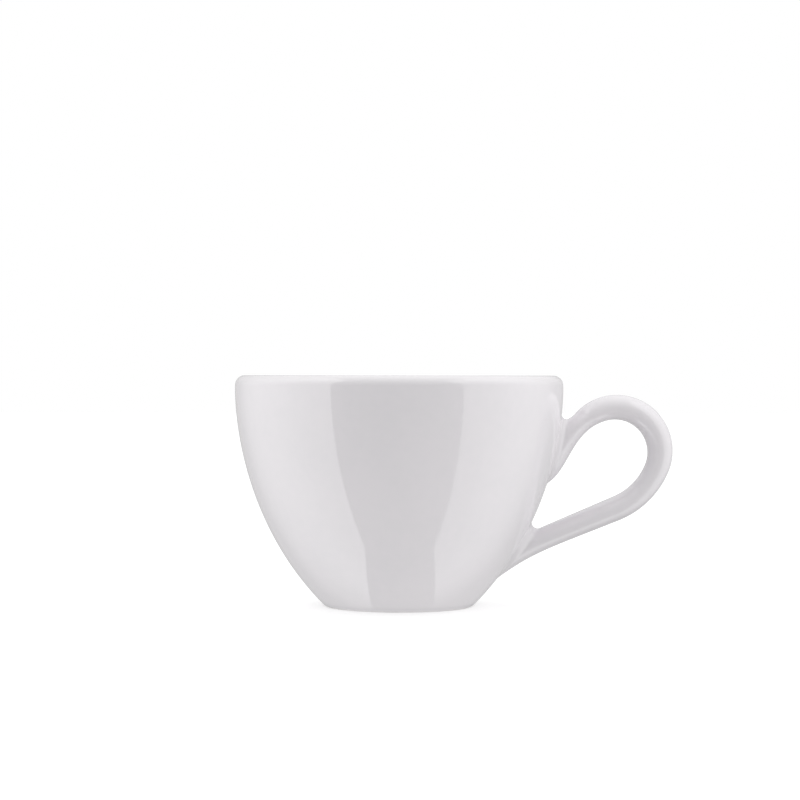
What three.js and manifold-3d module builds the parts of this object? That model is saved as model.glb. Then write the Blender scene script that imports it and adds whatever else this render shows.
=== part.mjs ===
// A glazed porcelain coffee cup: a turned bowl on a foot ring, and a bent handle luted to it with slip.
// Millimetres, +Z up. The origin is the middle of the foot ring, on the plane that the cup stands on,
// and the handle points along +X.

import * as THREE from 'three';
import { mergeVertices } from 'three/addons/utils/BufferGeometryUtils.js';
import Module from 'manifold-3d';

const wasm = await Module();
wasm.setup();

// Bowl: its wall leaves the foot leaning out, and is upright where the lip begins
const rimDiameter = 87;
const cupHeight = 61.2;
const wallThickness = 3.6;
const lipOuterRound = 2.5;
const wallLeanDegrees = 45.5;
const wallPullLow = 22.5;
const wallPullHigh = 19;

// Foot and floor
const footDiameter = 37.4;
const footRingWidth = 3.2;
const footCornerRound = 1.8;
const footInnerRound = 0.7;
const recessDepth = 1.9;
const recessRound = 1.1;
const floorThickness = 4.6;
const floorRound = 14;

// Handle loop, round the middle of the finger hole, then the elbow that opens into the lower arm
const loopReach = 13.75;
const loopDrop = 20.3;
const fingerRadius = 8.7;
const gripThickness = 6.1;
const gripSwell = 0.75;
const gripSwellDegrees = 40;
const gripDepth = 9.4;
const gripSquareness = 2.0;
const elbowDegrees = 23;
const elbowInnerRadius = 15.7;
const elbowOuterRadius = 23.7;
const armTaperDegrees = 1.7;

// Handle roots, by the heights at which the handle's edges meet the wall
const upperRootTop = 48.8;
const upperRootBottom = 32.5;
const lowerRootTop = 18.9;
const lowerRootBottom = 7.3;
const upperRootDepth = 10.6;
const lowerRootDepth = 10.2;
const lowerFlareLength = 11;

// Where the loop's edges turn off to the upper root, and how each curved root edge runs: how far it
// keeps the direction that it leaves in, how far it keeps the one that it lands in, and that direction
const outerBendDegrees = 138;
const innerBendDegrees = 105;
const upperOuterLeave = 2.2;
const upperOuterLand = 2.6;
const upperOuterLandDegrees = 188;
const upperInnerLeave = 8;
const upperInnerLand = 10.5;
const upperInnerLandDegrees = 227;
const lowerOuterLeave = 12;
const lowerOuterLand = 9;
const lowerOuterLandDegrees = 216.5;

// Slip joints, and the clearance on both sides of each
const slipThickness = 0.6;
const slipBead = 0.9;
const seatClearance = 0.3;

// Facets
const turnSegments = 72;
const sectionSides = 22;
const roundSteps = 4;
const lipSteps = 6;
const wallSteps = 16;
const innerWallSteps = 12;
const rootSteps = 10;
const loopSteps = 18;
const elbowSteps = 6;
const armSteps = 3;
const mergeDistance = 1e-4;

const radians = THREE.MathUtils.degToRad;
const point = (x, z) => new THREE.Vector2(x, z);
const along = (degrees) => point(Math.cos(radians(degrees)), Math.sin(radians(degrees)));
const step = (from, direction, distance) => from.clone().addScaledVector(direction, distance);

const rimRadius = rimDiameter / 2;
const footRadius = footDiameter / 2;
const lean = radians(wallLeanDegrees);

// The outer wall: one cubic curve from the foot's rounded corner to the lip
const wallDirection = point(Math.sin(lean), Math.cos(lean));
const wallFoot = point(
  footRadius + footCornerRound * Math.cos(lean),
  footCornerRound * (1 - Math.sin(lean)),
);
const wallTop = point(rimRadius, cupHeight - lipOuterRound);
const wall = new THREE.CubicBezierCurve(
  wallFoot,
  step(wallFoot, wallDirection, wallPullLow),
  step(wallTop, point(0, -1), wallPullHigh),
  wallTop,
);

// A point at a distance outside the wall, square to it
function besideWall(t, distance) {
  const tangent = wall.getTangent(t);
  return step(wall.getPoint(t), point(tangent.y, -tangent.x), distance);
}

// Where a height that rises along the wall reaches a value
function wallParameter(heightAt, height) {
  let low = 0;
  let high = 1;
  for (let i = 0; i < 40; i += 1) {
    const middle = (low + high) / 2;
    if (heightAt(middle) < height) low = middle;
    else high = middle;
  }
  return (low + high) / 2;
}

function wallPoint(height) {
  return wall.getPoint(wallParameter((t) => wall.getPoint(t).y, height));
}

function arc(centre, radius, fromDegrees, toDegrees) {
  const clockwise = toDegrees < fromDegrees;
  return new THREE.EllipseCurve(
    centre.x, centre.y, radius, radius, radians(fromDegrees), radians(toDegrees), clockwise,
  );
}

// Runs of profile points in one chain, with no point twice
function chain(...runs) {
  const points = [];
  for (const next of runs.flat()) {
    const last = points[points.length - 1];
    if (!last || last.distanceTo(next) > mergeDistance) points.push(next);
  }
  return points;
}

function turned(profile) {
  return new THREE.LatheGeometry(profile, turnSegments).rotateX(Math.PI / 2);
}

function range(count, from = 0, to = 1) {
  return Array.from({ length: count + 1 }, (_, i) => from + (to - from) * i / count);
}

// A solid from a geometry: shared corners merged, and the triangles that collapse at a pole left out
function toSolid(geometry) {
  const bare = geometry.clone();
  bare.deleteAttribute('normal');
  bare.deleteAttribute('uv');
  const merged = mergeVertices(bare, mergeDistance);
  const corners = merged.index.array;
  const triVerts = [];
  for (let i = 0; i < corners.length; i += 3) {
    const [a, b, c] = corners.slice(i, i + 3);
    if (a !== b && b !== c && c !== a) triVerts.push(a, b, c);
  }
  return new wasm.Manifold(new wasm.Mesh({
    numProp: 3,
    vertProperties: merged.attributes.position.array,
    triVerts: new Uint32Array(triVerts),
  }));
}

function toGeometry(solid) {
  const mesh = solid.getMesh();
  const geometry = new THREE.BufferGeometry();
  geometry.setAttribute('position', new THREE.BufferAttribute(mesh.vertProperties, 3));
  geometry.setIndex(new THREE.BufferAttribute(mesh.triVerts, 1));
  geometry.computeVertexNormals();
  return geometry;
}

// The bowl, turned from one closed profile: recess, foot ring, outer wall, lip, inner wall, floor
function cupBodyGeometry() {
  const footInner = footRadius - footRingWidth;
  const recessWall = footInner - footInnerRound;
  const footEdge = arc(point(footInner, footInnerRound), footInnerRound, 180, 270);
  const recessCorner = arc(
    point(recessWall - recessRound, recessDepth - recessRound), recessRound, 90, 0,
  );
  const footCorner = arc(
    point(footRadius, footCornerRound), footCornerRound, -90, -wallLeanDegrees,
  );

  const lipInnerRound = wallThickness - lipOuterRound;
  const lipOuter = arc(
    point(rimRadius - lipOuterRound, cupHeight - lipOuterRound), lipOuterRound, 0, 90,
  );
  const lipInner = arc(
    point(rimRadius - lipOuterRound, cupHeight - lipInnerRound), lipInnerRound, 90, 180,
  );

  // The floor's round touches the floor and the inner wall, so its centre lies this far inside both
  const floorHeight = recessDepth + floorThickness;
  const centreInset = -(wallThickness + floorRound);
  const touch = wallParameter((t) => besideWall(t, centreInset).y, floorHeight + floorRound);
  const floorCentre = besideWall(touch, centreInset);
  const innerFoot = besideWall(touch, -wallThickness).sub(floorCentre);
  const floorCorner = arc(
    floorCentre, floorRound, THREE.MathUtils.radToDeg(innerFoot.angle()) - 360, -90,
  );

  return turned(chain(
    [point(0, recessDepth)],
    recessCorner.getPoints(roundSteps),
    footEdge.getPoints(roundSteps),
    footCorner.getPoints(roundSteps),
    wall.getPoints(wallSteps),
    lipOuter.getPoints(lipSteps),
    lipInner.getPoints(roundSteps),
    range(innerWallSteps, 1, touch).map((t) => besideWall(t, -wallThickness)),
    floorCorner.getPoints(lipSteps),
    [point(0, floorHeight)],
  ));
}

// Everything within a distance of the bowl's outside, for trimming what is luted to it
function bowlSolid(distance) {
  const footCorner = arc(
    point(footRadius, footCornerRound), footCornerRound + distance, -90, -wallLeanDegrees,
  );
  return toSolid(turned(chain(
    [point(0, -distance)],
    footCorner.getPoints(roundSteps),
    range(wallSteps).map((t) => besideWall(t, distance)),
    [point(rimRadius + distance, cupHeight), point(0, cupHeight)],
  )));
}

// The handle's outer and inner edges in the XZ plane, in matched stretches from the upper root down
function handleRails() {
  const rootSink = wallThickness / 2;
  const innerCentre = point(rimRadius + loopReach, cupHeight - loopDrop);
  const outerCentre = step(innerCentre, along(gripSwellDegrees), gripSwell);
  const outerRadius = fingerRadius + gripThickness;

  const elbowCentre = (centre, radius, elbowRadius) => (
    step(centre, along(-elbowDegrees), radius - elbowRadius)
  );
  const innerElbow = elbowCentre(innerCentre, fingerRadius, elbowInnerRadius);
  const outerElbow = elbowCentre(outerCentre, outerRadius, elbowOuterRadius);

  // The arm's upper edge runs from its seat on the wall to touch the inner elbow
  const seat = wallPoint(lowerRootTop);
  const toElbow = innerElbow.clone().sub(seat);
  const armDegrees = THREE.MathUtils.radToDeg(
    toElbow.angle() - Math.asin(elbowInnerRadius / toElbow.length()),
  );
  const outerArmDegrees = armDegrees - armTaperDegrees;
  const armUp = along(armDegrees);
  const outerArmUp = along(outerArmDegrees);
  const innerArmStart = step(innerElbow, along(armDegrees - 90), elbowInnerRadius);
  const outerArmStart = step(outerElbow, along(outerArmDegrees - 90), elbowOuterRadius);
  const innerFlare = step(seat, armUp, lowerFlareLength);
  const outerFlare = step(
    outerArmStart, outerArmUp, innerFlare.clone().sub(outerArmStart).dot(outerArmUp),
  );

  // A root's edge leaves its start along one direction and sinks into the wall along another
  const rootEdge = (start, leaving, leave, height, landDegrees, land) => {
    const landing = along(landDegrees);
    const end = step(wallPoint(height), landing, rootSink);
    return new THREE.CubicBezierCurve(
      start, step(start, leaving, leave), step(end, landing, -land), end,
    );
  };
  const upperOuter = rootEdge(
    step(outerCentre, along(outerBendDegrees), outerRadius),
    along(outerBendDegrees + 90), upperOuterLeave,
    upperRootTop, upperOuterLandDegrees, upperOuterLand,
  );
  const upperInner = rootEdge(
    step(innerCentre, along(innerBendDegrees), fingerRadius),
    along(innerBendDegrees + 90), upperInnerLeave,
    upperRootBottom, upperInnerLandDegrees, upperInnerLand,
  );
  const lowerOuter = rootEdge(
    outerFlare,
    along(outerArmDegrees + 180), lowerOuterLeave,
    lowerRootBottom, lowerOuterLandDegrees, lowerOuterLand,
  );

  return [
    { kind: 'upperRoot', steps: rootSteps, reversed: true, outer: upperOuter, inner: upperInner },
    {
      kind: 'loop',
      steps: loopSteps,
      outer: arc(outerCentre, outerRadius, outerBendDegrees, -elbowDegrees),
      inner: arc(innerCentre, fingerRadius, innerBendDegrees, -elbowDegrees),
    },
    {
      kind: 'elbow',
      steps: elbowSteps,
      outer: arc(outerElbow, elbowOuterRadius, -elbowDegrees, outerArmDegrees - 90),
      inner: arc(innerElbow, elbowInnerRadius, -elbowDegrees, armDegrees - 90),
    },
    {
      kind: 'arm',
      steps: armSteps,
      outer: new THREE.LineCurve(outerArmStart, outerFlare),
      inner: new THREE.LineCurve(innerArmStart, innerFlare),
    },
    {
      kind: 'lowerRoot',
      steps: rootSteps,
      outer: lowerOuter,
      inner: new THREE.LineCurve(innerFlare, step(seat, armUp, -rootSink)),
    },
  ];
}

// Sections across one stretch of the handle: each spans its two edges, and is deeper near a root
function sections(stretch) {
  const rootDepth = { upperRoot: upperRootDepth, lowerRoot: lowerRootDepth }[stretch.kind];
  return range(stretch.steps).map((place) => {
    const t = stretch.reversed ? 1 - place : place;
    const widening = rootDepth ? (rootDepth - gripDepth) * THREE.MathUtils.smoothstep(t, 0, 1) : 0;
    return {
      outer: stretch.outer.getPoint(t),
      inner: stretch.inner.getPoint(t),
      depth: gripDepth + widening,
    };
  });
}

// A closed skin over a run of sections, each a rounded oblong in the plane of its edges and Y
function loft(run) {
  const positions = [];
  const faces = [];
  const power = (value) => Math.sign(value) * Math.abs(value) ** (2 / gripSquareness);
  for (const { outer, inner, depth } of run) {
    const middle = outer.clone().add(inner).multiplyScalar(0.5);
    const half = outer.clone().sub(middle);
    for (let j = 0; j < sectionSides; j += 1) {
      const angle = 2 * Math.PI * j / sectionSides;
      const place = step(middle, half, power(Math.cos(angle)));
      positions.push(place.x, -depth / 2 * power(Math.sin(angle)), place.y);
    }
  }
  const corner = (ring, j) => ring * sectionSides + j % sectionSides;
  const last = run.length - 1;
  for (let j = 0; j < sectionSides; j += 1) {
    for (let i = 0; i < last; i += 1) {
      const [a, b, c, d] = [corner(i, j), corner(i, j + 1), corner(i + 1, j + 1), corner(i + 1, j)];
      faces.push(a, b, c, a, c, d);
    }
    if (j > 0 && j < sectionSides - 1) {
      faces.push(corner(0, 0), corner(0, j + 1), corner(0, j));
      faces.push(corner(last, 0), corner(last, j), corner(last, j + 1));
    }
  }
  const geometry = new THREE.BufferGeometry();
  geometry.setAttribute('position', new THREE.Float32BufferAttribute(positions, 3));
  geometry.setIndex(faces);
  return toSolid(geometry);
}

const rails = handleRails();

// The handle, with its two ends trimmed to follow the wall, clear of the slip
function handleGeometry() {
  const run = rails.flatMap((stretch, i) => sections(stretch).slice(i > 0 ? 1 : 0));
  return toGeometry(loft(run).subtract(bowlSolid(slipThickness + 2 * seatClearance)));
}

// A pad of slip that follows the wall under one root, with a bead past the root's steep edges
function slipGeometry(kind, outerBead, innerBead) {
  const stretch = rails.find((each) => each.kind === kind);
  const run = sections(stretch).map(({ outer, inner, depth }) => {
    const across = outer.clone().sub(inner).normalize();
    return {
      outer: step(outer, across, outerBead),
      inner: step(inner, across, -innerBead),
      depth: depth + 2 * slipBead,
    };
  });
  const under = bowlSolid(seatClearance);
  const over = bowlSolid(seatClearance + slipThickness);
  return toGeometry(loft(run).intersect(over).subtract(under));
}

const glaze = { color: 0xe9e7ea, roughness: 0.08, metalness: 0 };
const cup = new THREE.Group();

function addPiece(name, geometry) {
  const mesh = new THREE.Mesh(geometry, new THREE.MeshStandardMaterial(glaze));
  mesh.name = name;
  cup.add(mesh);
}

addPiece('cup_body', cupBodyGeometry());
addPiece('handle', handleGeometry());
addPiece('upper_slip_joint', slipGeometry('upperRoot', slipBead, 0));
addPiece('lower_slip_joint', slipGeometry('lowerRoot', 0, slipBead));

export default cup;
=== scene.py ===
import math
import bpy
import numpy as np
from mathutils import Matrix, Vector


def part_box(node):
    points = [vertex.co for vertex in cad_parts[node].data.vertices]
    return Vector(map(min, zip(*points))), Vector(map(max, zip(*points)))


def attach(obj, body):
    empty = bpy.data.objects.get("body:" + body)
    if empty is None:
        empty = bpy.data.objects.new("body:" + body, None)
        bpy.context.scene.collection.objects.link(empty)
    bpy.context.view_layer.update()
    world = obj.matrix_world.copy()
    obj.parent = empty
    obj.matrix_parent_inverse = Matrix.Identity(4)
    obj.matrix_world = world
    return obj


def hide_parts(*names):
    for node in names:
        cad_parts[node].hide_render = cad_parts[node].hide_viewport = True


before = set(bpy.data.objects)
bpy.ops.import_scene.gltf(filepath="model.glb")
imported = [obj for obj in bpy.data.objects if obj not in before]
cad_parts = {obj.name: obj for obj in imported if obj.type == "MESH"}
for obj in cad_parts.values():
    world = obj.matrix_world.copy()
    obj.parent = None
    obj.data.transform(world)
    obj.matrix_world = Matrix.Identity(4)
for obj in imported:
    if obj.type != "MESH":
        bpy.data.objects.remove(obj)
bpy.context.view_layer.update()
print("frame loaded:", sorted(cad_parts))

mm = 0.001  # sizes below are in millimetres, and meshes are in metres


# Curves in a plane, each as an array of points

def arcPoints(centre, radius, fromDegrees, toDegrees, count):
    # centre plus radius times (cos a, sin a), for evenly spaced angles a
    a = np.radians(np.linspace(fromDegrees, toDegrees, count))
    return np.array(centre) + radius * np.stack([np.cos(a), np.sin(a)], -1)


def cubic(p0, p1, p2, p3, t):
    # the four points weighted by (1-t)^3, 3t(1-t)^2, 3t^2(1-t) and t^3
    return (1 - t) ** 3 * p0 + 3 * t * (1 - t) ** 2 * p1 + 3 * t ** 2 * (1 - t) * p2 + t ** 3 * p3


def cubicPoints(p0, p1, p2, p3, count):
    return cubic(p0, p1, p2, p3, np.linspace(0.0, 1.0, count)[:, None])


def linePoints(start, end, count):
    # start times (1-t) plus end times t
    t = np.linspace(0.0, 1.0, count)[:, None]
    return (1 - t) * start + t * end


def along(degrees):
    # one step in this direction
    return np.array([math.cos(math.radians(degrees)), math.sin(math.radians(degrees))])


def unit(v):
    return v / np.maximum(np.linalg.norm(v, axis=-1, keepdims=True), 1e-12)


def across(v, normal):
    # what is left of v once its part along the normal is taken out, at length 1
    return unit(v - np.sum(v * normal, -1, keepdims=True) * normal)


def smoothStep(x, low, high):
    # 3t^2 - 2t^3, where t goes from 0 at low to 1 at high
    t = np.clip((x - low) / (high - low), 0.0, 1.0)
    return t * t * (3 - 2 * t)


def joinRuns(*runs):
    # one chain of points, in which each later run leaves out its first point
    return np.concatenate([runs[0]] + [run[1:] for run in runs[1:]])


def linkObject(name, data):
    made = bpy.data.objects.new(name, data)
    bpy.context.scene.collection.objects.link(made)
    return made


def skinMesh(name, grid, startPole, endPole, poolingAndShade):
    # a closed skin: grid rows run along the shape, columns go round it, and a fan closes each end
    # the last argument gives, for each row or each point, how much the glaze darkens there: where it has run
    # thick together, and where shade is painted
    rows, columns = grid.shape[:2]
    points = np.concatenate([grid.reshape(-1, 3), [startPole, endPole]]) * mm
    i, j = np.meshgrid(np.arange(rows - 1), np.arange(columns), indexing="ij")
    k = (j + 1) % columns
    quads = np.stack([i * columns + j, i * columns + k, (i + 1) * columns + k, (i + 1) * columns + j], -1)
    j = np.arange(columns)
    k = (j + 1) % columns
    first = np.stack([np.full(columns, rows * columns), k, j], -1)
    lastRow = (rows - 1) * columns
    last = np.stack([np.full(columns, rows * columns + 1), lastRow + j, lastRow + k], -1)
    faces = quads.reshape(-1, 4).tolist() + first.tolist() + last.tolist()
    mesh = bpy.data.meshes.new(name)
    mesh.from_pydata(points.tolist(), [], faces)
    mesh.shade_smooth()
    # how much each point darkens, as pooled glaze and as painted shade
    thickness = np.concatenate([np.broadcast_to(poolingAndShade, (rows, columns)).ravel(), [0.0, 0.0]])
    mesh.attributes.new("poolingAndShade", "FLOAT", "POINT").data.foreach_set("value", thickness)
    mesh.update()
    print("made", name, len(points), "points,", len(faces), "faces")
    return linkObject(name, mesh)


# Shader maths

class Wire:
    # a node's output socket: sums on it add Math nodes to its tree
    def __init__(self, tree, socket=None):
        self.tree = tree
        self.socket = socket

    def node(self, kind, settings=None, inputs=None, output=0):
        # output is one socket, or a tuple of them
        made = self.tree.nodes.new(kind)
        for key, value in (settings or {}).items():
            setattr(made, key, value)
        for key, value in (inputs or {}).items():
            if isinstance(value, Wire):
                self.tree.links.new(value.socket, made.inputs[key])
            else:
                made.inputs[key].default_value = value
        if isinstance(output, tuple):
            return [Wire(self.tree, made.outputs[key]) for key in output]
        return Wire(self.tree, made.outputs[output] if made.outputs else None)

    def maths(self, operation, *values):
        return self.node("ShaderNodeMath", {"operation": operation}, dict(enumerate(values)))

    def __add__(self, other):
        return self.maths("ADD", self, other)

    def __sub__(self, other):
        return self.maths("SUBTRACT", self, other)

    def __rsub__(self, other):
        return self.maths("SUBTRACT", other, self)

    def __mul__(self, other):
        return self.maths("MULTIPLY", self, other)

    def __truediv__(self, other):
        return self.maths("DIVIDE", self, other)

    def __rtruediv__(self, other):
        return self.maths("DIVIDE", other, self)

    def __pow__(self, other):
        return self.maths("POWER", self, other)

    def __rpow__(self, other):
        return self.maths("POWER", other, self)

    __radd__ = __add__
    __rmul__ = __mul__

    def ramp(self, low, high):
        # 0 below low and 1 above high, eased at both ends
        return self.node("ShaderNodeMapRange", {"interpolation_type": "SMOOTHSTEP"},
                         {"Value": self, "From Min": low, "From Max": high})

    def blend(self, first, second):
        # colours mixed by this socket's value
        return self.node("ShaderNodeMix", {"data_type": "RGBA"}, {0: self, 6: first, 7: second}, 2)

    def parts(self):
        # the X, Y and Z of a vector
        return self.node("ShaderNodeSeparateXYZ", None, {0: self}, (0, 1, 2))

    def objectPlace(self):
        return self.node("ShaderNodeTexCoord", output="Object")


def newMaterial(name):
    material = bpy.data.materials.new(name)
    material.use_nodes = True
    tree = material.node_tree
    tree.nodes.clear()
    return material, Wire(tree)


# The bowl

bowlTop = np.array(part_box("cup_body")[1]) / mm
bowl = dict(
    rimRadius=bowlTop[1], height=bowlTop[2],
    lean=45.5, pullLow=22.5, pullHigh=19.0,          # the outer wall, from the foot up
    topDrop=2.5, wall=3.6,                           # where it ends below the lip, and its thickness
    lipDrop=5.0, lipDegrees=2, lipRound=2.6,         # the wall draws in a little below the lip's round
    footRadius=18.7, footRing=3.2, footCorner=1.8, footInner=0.7,
    recess=1.9, recessRound=1.1,
    floor=4.6, floorRound=14.0,
    glazeLine=0.5, glazeStep=0.1, glazeEdge=0.12,    # where the glaze stops, its thickness, half its edge
    footPoolAndShade=(0.45, 0.45, 1.0),                      # pooled glaze and painted shade near the floor: height over the line, spread, strength
    floorPool=(2.0, 2.2, 0.6),                       # pooled glaze only, the same three over the floor inside
    flatSlope=0.05,                                  # a profile that rises less than this is flat
    runGap=0.2, poleRadius=0.4,                      # gaps left below the lip and round the axis
    around=288, wallPoints=101, lipPoints=19, cornerPoints=15, roundPoints=9, floorPoints=25, flatPoints=14,
)

wallTop = np.array([bowl["rimRadius"], bowl["height"] - bowl["topDrop"]])
footCorner = arcPoints([bowl["footRadius"], bowl["footCorner"]], bowl["footCorner"],
                       -90, -bowl["lean"], bowl["cornerPoints"])
outerWall = cubicPoints(
    footCorner[-1], footCorner[-1] + bowl["pullLow"] * along(90 - bowl["lean"]),
    wallTop - [0, bowl["pullHigh"]], wallTop, bowl["wallPoints"])
wallSlope = unit(np.gradient(outerWall, axis=0))
wallNormal = np.stack([wallSlope[:, 1], -wallSlope[:, 0]], -1)
floorHeight = bowl["recess"] + bowl["floor"]


def wallRadius(z):
    # the outer wall's radius at a height
    return np.interp(z, outerWall[:, 1], outerWall[:, 0])


def wallOutward(points):
    # the wall's normal beside each point: its radial part is turned to the point's bearing
    radial = np.interp(points[..., 2], outerWall[:, 1], wallNormal[:, 0])
    upward = np.interp(points[..., 2], outerWall[:, 1], wallNormal[:, 1])
    bearing = unit(points[..., :2])
    return unit(np.concatenate([bearing * radial[..., None], upward[..., None]], -1))


def footRuns():
    # recess, its corner, the foot ring's inner edge and its flat
    recess, recessRound, footEdge = bowl["recess"], bowl["recessRound"], bowl["footInner"]
    ringInner = bowl["footRadius"] - bowl["footRing"]
    recessCorner = arcPoints([ringInner - footEdge - recessRound, recess - recessRound], recessRound,
                             90, 0, bowl["roundPoints"])
    innerEdge = arcPoints([ringInner, footEdge], footEdge, 180, 270, bowl["roundPoints"])
    recessFloor = linePoints(np.array([bowl["poleRadius"], recess]), recessCorner[0], bowl["flatPoints"])
    ring = linePoints(innerEdge[-1], footCorner[0], bowl["roundPoints"])
    return recessFloor, recessCorner, innerEdge, ring


def lipRuns():
    # the wall up to the lip, then drawn in: its radius drops with the square of the height until it leans as
    # the lip's round begins, and then two quarter rounds, outside and inside
    height, lipRound = bowl["height"], bowl["lipRound"]
    lean = math.radians(bowl["lipDegrees"])
    low = height - bowl["lipDrop"]
    high = height - lipRound * (1 - math.sin(lean))
    z = np.linspace(low, high, bowl["cornerPoints"])
    inset = math.tan(lean) * (high - low) / 2 * ((z - low) / (high - low)) ** 2
    drawnIn = np.stack([wallRadius(z) - inset, z], -1)
    crest = drawnIn[-1, 0] - lipRound * math.cos(lean)
    outside = arcPoints([crest, height - lipRound], lipRound, bowl["lipDegrees"], 90, bowl["lipPoints"])
    innerRound = crest - wallTop[0] + bowl["wall"]
    inside = arcPoints([crest, height - innerRound], innerRound, 90, 180, bowl["cornerPoints"])
    return outerWall[outerWall[:, 1] < low - bowl["runGap"]], drawnIn, outside, inside


def insideRuns():
    # the inner wall, the floor's round and the floor: the round touches wall and floor, so its centre lies
    # its own radius inside both
    inner = outerWall - bowl["wall"] * wallNormal
    centres = inner - bowl["floorRound"] * wallNormal
    touch = int(np.argmin(np.abs(centres[:, 1] - floorHeight - bowl["floorRound"])))
    centre = np.array([centres[touch, 0], floorHeight + bowl["floorRound"]])
    toWall = inner[touch] - centre
    startDegrees = math.degrees(math.atan2(toWall[1], toWall[0]))
    floorCorner = arcPoints(centre, bowl["floorRound"], startDegrees, -90, bowl["floorPoints"])
    pole = np.array([bowl["poleRadius"], floorHeight])
    return inner[touch:][::-1], floorCorner, linePoints(floorCorner[-1], pole, bowl["flatPoints"])


def makeBowl():
    # the profile, from axis to axis, turned round the axis: (r cos a, r sin a, z)
    profile = joinRuns(*footRuns(), footCorner, *lipRuns(), *insideRuns())

    # bare clay lies deeper by the glaze's thickness, apart from the flat that the cup stands on
    line, edge = bowl["glazeLine"], bowl["glazeEdge"]
    bare = 1 - smoothStep(profile[:, 1], line - edge, line + edge)
    tangent = unit(np.gradient(profile, axis=0))
    onFlat = np.abs(tangent[:, 1]) < bowl["flatSlope"]
    profile[:, 0] -= bare * bowl["glazeStep"] * ~onFlat * tangent[:, 1]

    a = np.linspace(0, 2 * np.pi, bowl["around"], endpoint=False)
    r, z = profile[:, :1], profile[:, 1:]
    grid = np.stack([r * np.cos(a), r * np.sin(a), z + 0 * a], -1)

    def pooledAndShaded(above, middle, spread, strength):
        # a bell over the height: e to the minus square of the distance from its middle over its spread
        return strength * np.exp(-((z - above - middle) / spread) ** 2)

    # the glaze runs together just above the foot's bare rim, darker there also as painted shade near the
    # floor, and a little in the round of the floor inside
    pastLip = np.arange(len(z))[:, None] > np.argmax(z)
    poolingAndShade = pooledAndShaded(line, *bowl["footPoolAndShade"]) * (r > bowl["footRadius"])
    poolingAndShade = poolingAndShade + pooledAndShaded(floorHeight, *bowl["floorPool"]) * pastLip
    return skinMesh("glazedBowl", grid, [0, 0, profile[0, 1]], [0, 0, profile[-1, 1]], poolingAndShade)


# The handle

handle = dict(
    loopReach=13.75, loopDrop=20.3, fingerRadius=8.7,        # the loop's middle, from rim and lip
    thickness=6.065, swell=0.75, swellDegrees=40,            # thickest at the loop's outer corner
    depth=9.4, squareness=2.0,
    elbowDegrees=23, elbowInner=15.7, elbowOuter=23.7, armTaper=1.7,
    upperTop=48.8, upperBottom=32.2, lowerTop=19.1, lowerBottom=7.3,   # where the edges meet the wall
    upperDepth=10.6, lowerDepth=10.2, lowerFlare=11.0,
    outerBend=138, innerBend=105,                            # where the edges turn off to the upper root
    # each curved root edge: how far it keeps the way it leaves in and the way it lands in, and that way
    upperOuter=(2.2, 2.6, 188), upperInner=(10.8, 8.05, 185.4), lowerOuter=(12.0, 9.0, 216.5),
    sink=2.2,                                                # how deep the edges run into the wall
    # the wiped round at each root: radius along the two edges and on the sides, and the tangents' limits
    upperFillet=(1.5, 3.2), lowerFillet=(1.5, 4.4), blendLeast=1.0, blendMost=7.0,
    # how the round's rim is tucked under the wall: its own depth, then further along, under, and its middle
    tuck=0.015, tuckAlong=0.2, tuckUnder=0.3, heartUnder=1.5,
    # where each root is looked for, as a share of the length, in how many steps, and how many show its way
    upperSearch=0.3, lowerSearch=0.6, searchSteps=600, waySteps=25,
    # darker glaze: pooled glaze and painted shade in the rounds, and painted shade on the bend's inner side
    # between these points of the edges
    roundPoolAndShade=0.45, bendPaintedShade=1.3, bendRise=(90, 150), bendFall=(250, 340), bendSide=(0.0, 0.9),
    rootPoints=120, loopPoints=160, elbowPoints=80, armPoints=40,
    around=96, length=220, filletRows=16,
)


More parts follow.
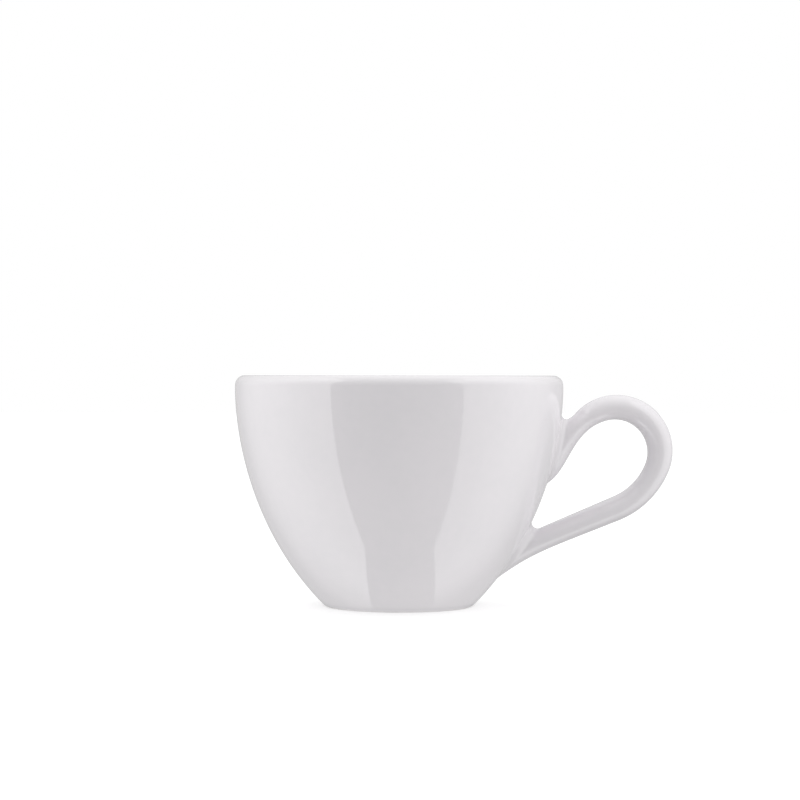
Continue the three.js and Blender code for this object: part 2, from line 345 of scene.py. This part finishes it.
def handleEdges():
    # outer and inner edge in the XZ plane as matched runs: upper root, loop, elbow, arm, lower root
    h = handle
    inner = np.array([bowl["rimRadius"] + h["loopReach"], bowl["height"] - h["loopDrop"]])
    outer = inner + h["swell"] * along(h["swellDegrees"])
    outerRadius = h["fingerRadius"] + h["thickness"]
    innerElbow = inner + (h["fingerRadius"] - h["elbowInner"]) * along(-h["elbowDegrees"])
    outerElbow = outer + (outerRadius - h["elbowOuter"]) * along(-h["elbowDegrees"])

    # the arm's upper edge runs from its seat on the wall to touch the inner elbow
    seat = np.array([wallRadius(h["lowerTop"]), h["lowerTop"]])
    toElbow = innerElbow - seat
    distance = np.linalg.norm(toElbow)
    innerArm = math.degrees(math.atan2(toElbow[1], toElbow[0]) - math.asin(h["elbowInner"] / distance))
    outerArm = innerArm - h["armTaper"]
    innerStart = innerElbow + h["elbowInner"] * along(innerArm - 90)
    outerStart = outerElbow + h["elbowOuter"] * along(outerArm - 90)
    innerFlare = seat + h["lowerFlare"] * along(innerArm)
    outerFlare = outerStart + np.dot(innerFlare - outerStart, along(outerArm)) * along(outerArm)

    def rootEdge(start, leaveDegrees, height, pulls):
        leave, land, landDegrees = pulls
        end = np.array([wallRadius(height), height]) + h["sink"] * along(landDegrees)
        return cubicPoints(start, start + leave * along(leaveDegrees),
                           end - land * along(landDegrees), end, h["rootPoints"])

    outerTurn = outer + outerRadius * along(h["outerBend"])
    innerTurn = inner + h["fingerRadius"] * along(h["innerBend"])
    outerEdge = joinRuns(
        rootEdge(outerTurn, h["outerBend"] + 90, h["upperTop"], h["upperOuter"])[::-1],
        arcPoints(outer, outerRadius, h["outerBend"], -h["elbowDegrees"], h["loopPoints"]),
        arcPoints(outerElbow, h["elbowOuter"], -h["elbowDegrees"], outerArm - 90, h["elbowPoints"]),
        linePoints(outerStart, outerFlare, h["armPoints"]),
        rootEdge(outerFlare, outerArm + 180, h["lowerBottom"], h["lowerOuter"]))
    innerEdge = joinRuns(
        rootEdge(innerTurn, h["innerBend"] + 90, h["upperBottom"], h["upperInner"])[::-1],
        arcPoints(inner, h["fingerRadius"], h["innerBend"], -h["elbowDegrees"], h["loopPoints"]),
        arcPoints(innerElbow, h["elbowInner"], -h["elbowDegrees"], innerArm - 90, h["elbowPoints"]),
        linePoints(innerStart, innerFlare, h["armPoints"]),
        linePoints(innerFlare, seat - h["sink"] * along(innerArm), h["rootPoints"]))

    # the depth across grows from the grip's to the root's over each root
    count = len(outerEdge)
    fromEnd = np.minimum(np.arange(count), np.arange(count)[::-1])
    rootShare = np.clip(1 - fromEnd / (h["rootPoints"] - 1), 0, 1)
    rootDepth = np.where(np.arange(count) < count / 2, h["upperDepth"], h["lowerDepth"])
    depth = h["depth"] + (rootDepth - h["depth"]) * smoothStep(rootShare, 0, 1)
    return outerEdge, innerEdge, depth


outerEdge, innerEdge, edgeDepth = handleEdges()
middleLine = (outerEdge + innerEdge) / 2
middleStep = np.linalg.norm(np.diff(middleLine, axis=0), axis=1)
edgePlace = np.concatenate([[0.0], np.cumsum(middleStep)])   # distance along the handle's middle line


def handleSkin(place, angle):
    # a rounded oblong across the two edges: middle + half span * c along the edges' plane and depth / 2 * s
    # along Y, where c and s are the cosine and sine of the angle raised to 2 / squareness, signs kept
    power = 2 / handle["squareness"]
    c = np.sign(np.cos(angle)) * np.abs(np.cos(angle)) ** power
    s = np.sign(np.sin(angle)) * np.abs(np.sin(angle)) ** power
    outer, inner = (np.stack([np.interp(place, edgePlace, edge[:, k]) for k in (0, 1)], -1)
                    for edge in (outerEdge, innerEdge))
    flat = (outer + inner) / 2 + (outer - inner) / 2 * c[..., None]
    depth = np.interp(place, edgePlace, edgeDepth)
    return np.stack([flat[..., 0], -depth / 2 * s, flat[..., 1]], -1)


def rootFillet(angle, fromPlace, toPlace, fillet):
    # a wiped round between handle and wall: for each line along the handle, a cubic from a point on it to a
    # point on the wall, tangent to both, with tangents of radius / tan(half the angle between them)
    h = handle
    place = np.linspace(fromPlace, toPlace, h["searchSteps"])[:, None] + 0 * angle
    lines = handleSkin(place, angle + 0 * place)
    columns = np.arange(len(angle))

    # where each line comes out of the wall
    outside = np.hypot(lines[..., 0], lines[..., 1]) - wallRadius(lines[..., 2])
    k = np.argmax(outside > 0, axis=0)
    share = (outside[k - 1, columns] / (outside[k - 1, columns] - outside[k, columns]))[:, None]
    meet = lines[k - 1, columns] * (1 - share) + lines[k, columns] * share

    # the angle there between the line and the wall, and so the length of the tangents
    leaving = unit(lines[np.minimum(k + h["waySteps"], h["searchSteps"] - 1), columns] - meet)
    roundStep = np.roll(meet, -1, axis=0) - np.roll(meet, 1, axis=0)
    side = unit(np.cross(roundStep, leaving) * np.sign(toPlace - fromPlace))
    outward = across(side, wallOutward(meet))
    halfAngle = np.arccos(np.clip(np.sum(leaving * outward, -1), -0.999, 0.999)) / 2
    atEdges, onSides = fillet
    radius = atEdges + (onSides - atEdges) * np.sin(angle) ** 2
    reach = np.clip(radius / np.tan(halfAngle), h["blendLeast"], h["blendMost"])

    # the start, that far along the line
    run = np.cumsum(np.linalg.norm(np.diff(lines, axis=0, prepend=lines[:1]), axis=-1), axis=0)
    target = run[k, columns] + reach
    n = np.argmax(run > target, axis=0)
    part = ((target - run[n - 1, columns]) / (run[n, columns] - run[n - 1, columns]))[:, None]
    start = lines[n - 1, columns] * (1 - part) + lines[n, columns] * part
    startPlace = place[n - 1, columns] * (1 - part[:, 0]) + place[n, columns] * part[:, 0]
    startWay = unit(lines[n - 1, columns] - lines[n, columns])

    # the end, that far along the wall and just under it
    end = meet + reach[:, None] * outward
    end[:, :2] = unit(end[:, :2]) * wallRadius(end[:, 2])[:, None]
    endNormal = wallOutward(end)
    endWay = across(outward, endNormal)
    end = end - h["tuck"] * endNormal

    # a cubic is close to an arc of this turn when its pulls are 4/3 tan(turn/4) times the arc's radius
    turn = np.pi - 2 * halfAngle
    pull = (reach * 4 / 3 * np.tan(turn / 4) / np.tan(turn / 2))[:, None]
    t = np.linspace(0, 1, h["filletRows"])[:, None, None]
    rows = cubic(start, start + pull * startWay, end - pull * endWay, end, t)
    buried = end + h["tuckAlong"] * endWay - h["tuckUnder"] * endNormal
    heart = meet.mean(0) - h["heartUnder"] * unit(wallOutward(meet).mean(0))
    return rows, buried, heart, startPlace


def makeHandle():
    # rows along the handle between its two wiped rounds: place goes from one round's start to the other's
    h = handle
    angle = np.linspace(0, 2 * np.pi, h["around"], endpoint=False)
    length = edgePlace[-1]
    upperRows, upperBuried, upperHeart, upperStart = rootFillet(
        angle, 0.0, h["upperSearch"] * length, h["upperFillet"])
    lowerRows, lowerBuried, lowerHeart, lowerStart = rootFillet(
        angle, length, h["lowerSearch"] * length, h["lowerFillet"])
    t = np.linspace(0, 1, h["length"])[1:-1, None]
    place = upperStart * (1 - t) + lowerStart * t
    grip = handleSkin(place, angle + 0 * t)
    grid = np.concatenate([upperBuried[None], upperRows[::-1], grip, lowerRows, lowerBuried[None]])

    # the glaze is darker along both wiped rounds, as pooled glaze and as painted shade in their creases, and
    # on the inner side of the loop's tight bend as painted shade
    none = np.zeros((1, h["around"]))
    # pooled glaze and painted shade in the creases of the wiped rounds
    inRoundPoolAndShade = h["roundPoolAndShade"] * np.sin(np.pi * np.linspace(0, 1, h["filletRows"])) ** 2
    inRoundPoolAndShade = inRoundPoolAndShade[:, None] + none
    rise, fall = (edgePlace[list(h[key])] for key in ("bendRise", "bendFall"))
    # painted shade on the inner side of the loop's bend
    paintedBendShade = h["bendPaintedShade"] * smoothStep(place, *rise) * (1 - smoothStep(place, *fall))
    paintedBendShade = paintedBendShade * smoothStep(-np.cos(angle), *h["bendSide"])
    poolingAndShade = np.concatenate([none, inRoundPoolAndShade[::-1], paintedBendShade, inRoundPoolAndShade, none])
    return skinMesh("glazedHandle", grid, upperHeart, lowerHeart, poolingAndShade)


# Finishes: each pattern is a noise of this size in mm, detail and seed

glaze = dict(
    colour=(0.87, 0.843, 0.868, 1), thin=(0.88, 0.856, 0.876, 1), cloudy=(0.834, 0.814, 0.838, 1),
    clouds=(22.0, 3.0, 1.0), specks=(2.5, 2.0, 2.0), speckShare=0.3, cloudRange=(0.3, 0.75),
    # the darker colour of pooled glaze and painted shade, and how far the glaze goes towards it
    pooledAndShaded=(0.765, 0.745, 0.768, 1), poolingAndShade=0.6,
    poolAndShadePatches=(3.5, 2.0, 10.0), poolAndShadeLeast=0.7, poolAndShadeUneven=0.6,
    thinFrom=2.2, thinTo=0.4, thinning=0.6,            # the coat thins between these depths below the lip
    roughness=0.05, smears=(9.0, 3.0, 3.0), smearRange=(0.45, 0.75), smear=0.03, ior=1.52,
    waves=(14.0, 1.0, 4.0), wave=0.025, peels=(1.1, 1.0, 5.0), peel=0.0009,   # heights in mm
)
bareClay = dict(
    colour=(0.82, 0.8, 0.806, 1), stain=(0.7, 0.68, 0.684, 1),
    stains=(4.0, 3.0, 9.0), stainRange=(0.45, 0.8), staining=0.6,
    wander=(3.0, 2.0, 6.0), wanders=0.25, softEdge=0.06,         # how the glaze's edge wanders and fades
    roughness=0.72, roughGrain=0.1,
    grains=(0.35, 4.0, 7.0), grain=0.008, turnings=(0.3, 2.0, 8.0), turning=0.03,
)


def glazeMaterial(name, footBare):
    material, start = newMaterial(name)
    place = start.objectPlace()
    x, y, z = (part / mm for part in place.parts())

    def noise(pattern, where=place):
        size, detail, seed = pattern
        return start.node("ShaderNodeTexNoise", {"noise_dimensions": "4D"},
                          {"Vector": where, "W": seed, "Scale": 1 / (size * mm), "Detail": detail})

    # clouded colour, darker where the glaze is thick and where shade is painted, and paler on the lip
    share = glaze["speckShare"]
    cloud = noise(glaze["clouds"]) * (1 - share) + noise(glaze["specks"]) * share
    colour = cloud.ramp(*glaze["cloudRange"]).blend(glaze["colour"], glaze["cloudy"])
    poolAndShadeMask = start.node("ShaderNodeAttribute", {"attribute_name": "poolingAndShade"}, output="Fac")
    poolAndShadeMask = poolAndShadeMask * (glaze["poolAndShadeLeast"] + glaze["poolAndShadeUneven"] * noise(glaze["poolAndShadePatches"]))
    colour = (poolAndShadeMask * glaze["poolingAndShade"]).blend(colour, glaze["pooledAndShaded"])
    lip = z.ramp(bowl["height"] - glaze["thinFrom"], bowl["height"] - glaze["thinTo"])
    colour = (lip * glaze["thinning"]).blend(colour, glaze["thin"])

    roughness = glaze["roughness"] + glaze["smear"] * noise(glaze["smears"]).ramp(*glaze["smearRange"])
    height = noise(glaze["waves"]) * glaze["wave"] + noise(glaze["peels"]) * glaze["peel"]

    if footBare:
        # below a wandering line the clay is bare, with its grain and the rings of turning
        line = bowl["glazeLine"] + bareClay["wanders"] * (noise(bareClay["wander"]) - 0.5)
        bare = 1 - (z - line).ramp(-bareClay["softEdge"], bareClay["softEdge"])
        stained = noise(bareClay["stains"]).ramp(*bareClay["stainRange"]) * bareClay["staining"]
        colour = bare.blend(colour, stained.blend(bareClay["colour"], bareClay["stain"]))
        grain = noise(bareClay["grains"])
        clayRoughness = bareClay["roughness"] + bareClay["roughGrain"] * grain
        roughness = roughness * (1 - bare) + bare * clayRoughness
        radius = (x * x + y * y) ** 0.5
        turning = noise(bareClay["turnings"], start.node("ShaderNodeCombineXYZ", None, {0: radius * mm}))
        clayHeight = bareClay["grain"] * grain + bareClay["turning"] * turning
        height = height * (1 - bare) + bare * clayHeight

    normal = start.node("ShaderNodeBump", None, {"Strength": 1.0, "Distance": mm, "Height": height})
    shader = start.node("ShaderNodeBsdfPrincipled", None, {
        "Base Color": colour, "Roughness": roughness, "IOR": glaze["ior"], "Normal": normal})
    start.node("ShaderNodeOutputMaterial", None, {"Surface": shader})
    print("made finish", name)
    return material


# The stage: a pale floor, a white surround and the two tall side panels of a light tent

stage = dict(
    floorSize=6000.0, floorDrop=0.02, floorColour=(0.66, 0.66, 0.66, 1), floorGlow=0.49,
    # brightness with which the floor lights the cup, in front of it and behind, and the Y where one becomes
    # the other
    bounce=dict(front=0.845, back=0.4, turn=(-40, 60)),
    # soft patches on the floor: middle, the radii between which each fades out, and brightness at its middle
    patches=dict(
        footShade=((0, 10), 18, 29, 0.15),
        handleShade=((68, 14), 0, 45, 0.16),
        panelPool=((95, -75), 0, 90, 0.98),
        underFoot=((0, 0), 17.5, 18.6, 0.62),
    ),
    # the surround's brightness on each side of the cup: as it lights the cup, and as the glaze mirrors it
    soft=dict(front=0.01, back=1.0, left=0.99, right=1.22, above=1.1, below=0.0),
    sheen=dict(front=0.02, back=0.58, left=0.5, right=0.06, above=1.8, below=0.41),
    panelReach=541,          # how far each panel goes up and down from the floor
    panelFade=(-60, 190),    # the Y where the mirrored panels begin to fade, and where they are gone
)
panels = dict(    # ends, how far the top leans from the bottom, and brightness as a lamp and in the glaze
    left=dict(front=(-270, -270), back=(-150, 250), lean=(-18, 18), soft=0.28, sheen=1.78),
    right=dict(front=(262, -285), back=(205, 250), lean=(-18, -18), soft=0.35, sheen=1.38),
)


def floorMaterial():
    # to the camera a pale floor that keeps the cup's shadow, to other rays the bounce that lights the cup,
    # and clear from below
    material, start = newMaterial("stageFloor")
    camera = start.node("ShaderNodeLightPath", output="Is Camera Ray")
    fromBelow = start.node("ShaderNodeNewGeometry", output="Backfacing")
    seen = start.node("ShaderNodeAddShader", None, {
        0: start.node("ShaderNodeBsdfDiffuse", None, {"Color": stage["floorColour"]}),
        1: start.node("ShaderNodeEmission", None, {"Strength": stage["floorGlow"]})})
    x, y = (part / mm for part in start.objectPlace().parts()[:2])
    bounce = stage["bounce"]
    level = bounce["front"] + (bounce["back"] - bounce["front"]) * y.ramp(*bounce["turn"])
    for (middleX, middleY), inside, outside, middle in stage["patches"].values():
        reach = ((x - middleX) ** 2 + (y - middleY) ** 2) ** 0.5
        level = middle + (level - middle) * reach.ramp(inside, outside)
    lighting = start.node("ShaderNodeEmission", None, {"Color": level})
    upper = start.node("ShaderNodeMixShader", None, {0: camera, 1: lighting, 2: seen})
    clear = start.node("ShaderNodeBsdfTransparent")
    shader = start.node("ShaderNodeMixShader", None, {0: fromBelow, 1: upper, 2: clear})
    start.node("ShaderNodeOutputMaterial", None, {"Surface": shader})
    return material


def addSheet(name, corners, material):
    # one flat four-cornered sheet of the stage
    mesh = bpy.data.meshes.new(name)
    mesh.from_pydata((np.array(corners) * mm).tolist(), [], [(0, 1, 2, 3)])
    mesh.materials.append(material)
    made = linkObject(name, mesh)
    return made


def makeFloor():
    half = stage["floorSize"] / 2
    low = -stage["floorDrop"]
    corners = [(-half, -half, low), (half, -half, low), (half, half, low), (-half, half, low)]
    made = addSheet("stageFloor", corners, floorMaterial())
    made.visible_glossy = False
    print("made floor")


def makeSurround():
    # brightness by direction: each of the six sides weighted by the square of the direction's part towards it
    world = bpy.data.worlds.new("surround")
    bpy.context.scene.world = world
    world.use_nodes = True
    world.node_tree.nodes.clear()
    start = Wire(world.node_tree)
    camera, glossy = start.node("ShaderNodeLightPath", output=("Is Camera Ray", "Is Glossy Ray"))
    x, y, z = start.node("ShaderNodeTexCoord", output="Generated").parts()

    def sides(level):
        total = 0.0
        for part, low, high in ((x, "left", "right"), (y, "front", "back"), (z, "below", "above")):
            upper = part.maths("GREATER_THAN", part, 0.0)
            total = total + part * part * (level[low] + (level[high] - level[low]) * upper)
        return total

    seen = glossy * sides(stage["sheen"]) + (1 - glossy) * sides(stage["soft"])
    shader = start.node("ShaderNodeBackground", None, {"Color": camera + (1 - camera) * seen})
    start.node("ShaderNodeOutputWorld", None, {"Surface": shader})
    print("made surround")


def addPanelLamp(name, corner, width, up, brightness):
    # a soft rectangle lamp over the panel, which lights the cup and is not mirrored in it
    data = bpy.data.lights.new(name, "AREA")
    data.shape = "RECTANGLE"
    data.size = np.linalg.norm(width) * mm
    data.size_y = np.linalg.norm(up) * mm
    data.energy = math.pi * data.size * data.size_y * brightness
    made = linkObject(name, data)
    turn = np.eye(4)
    turn[:3, :3] = np.stack([unit(width), unit(up), np.cross(unit(width), unit(up))], -1)
    turn[:3, 3] = (corner + (width + up) / 2) * mm
    made.matrix_world = Matrix(turn.tolist())
    made.visible_glossy = False


def addPanelCard(name, corner, width, up, brightness):
    # the same panel as a card that is only mirrored in the glaze, fading towards its back end
    material, start = newMaterial(name)
    low, high = stage["panelFade"]
    fade = 1 - start.objectPlace().parts()[1].ramp(low * mm, high * mm)
    glow = start.node("ShaderNodeEmission", None, {"Color": fade, "Strength": brightness})
    clear = start.node("ShaderNodeBsdfTransparent")
    shader = start.node("ShaderNodeAddShader", None, {0: glow, 1: clear})
    start.node("ShaderNodeOutputMaterial", None, {"Surface": shader})
    made = addSheet(name, [corner, corner + width, corner + width + up, corner + up], material)
    made.visible_camera = False
    made.visible_diffuse = False
    made.visible_shadow = False


def makeLights():
    reach = stage["panelReach"]
    for name, panel in panels.items():
        # a lamp shines along its own -Z, so the ends are taken in the order that turns it towards the cup
        ends = ("front", "back") if name == "right" else ("back", "front")
        first, second = (np.array(panel[end] + (-reach,), float) for end in ends)
        width = second - first
        up = np.array([0.0, 0.0, 2 * reach])
        addPanelLamp(name + "Lamp", first, width, up, panel["soft"])
        lean = np.array(panel["lean"] + (0.0,))
        addPanelCard(name + "Card", first - lean / 2, width, up + lean, panel["sheen"])
        print("made", name, "panel")


view = dict(
    distance=640.0, height=62.0, aside=0.22,      # in front of the cup, and level with its rim
    down=0.655, roll=-0.1,                        # degrees
    lens=108.52, sensor=36.0, nearest=10.0,
)


def makeCamera():
    data = bpy.data.cameras.new("camera")
    data.lens = view["lens"]
    data.sensor_width = view["sensor"]
    data.clip_start = view["nearest"] * mm
    made = linkObject("camera", data)
    made.location = (view["aside"] * mm, -view["distance"] * mm, view["height"] * mm)
    made.rotation_euler = (math.radians(90 - view["down"]), math.radians(view["roll"]), 0)
    bpy.context.scene.camera = made
    print("made camera")


body = makeBowl()
body.data.materials.append(glazeMaterial("bowlGlaze", True))
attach(body, "root")
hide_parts("cup_body")

grip = makeHandle()
grip.data.materials.append(glazeMaterial("handleGlaze", False))
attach(grip, "root")
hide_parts("handle", "upper_slip_joint", "lower_slip_joint")

makeFloor()
makeSurround()
makeLights()
makeCamera()
bpy.context.scene.view_settings.view_transform = "Standard"
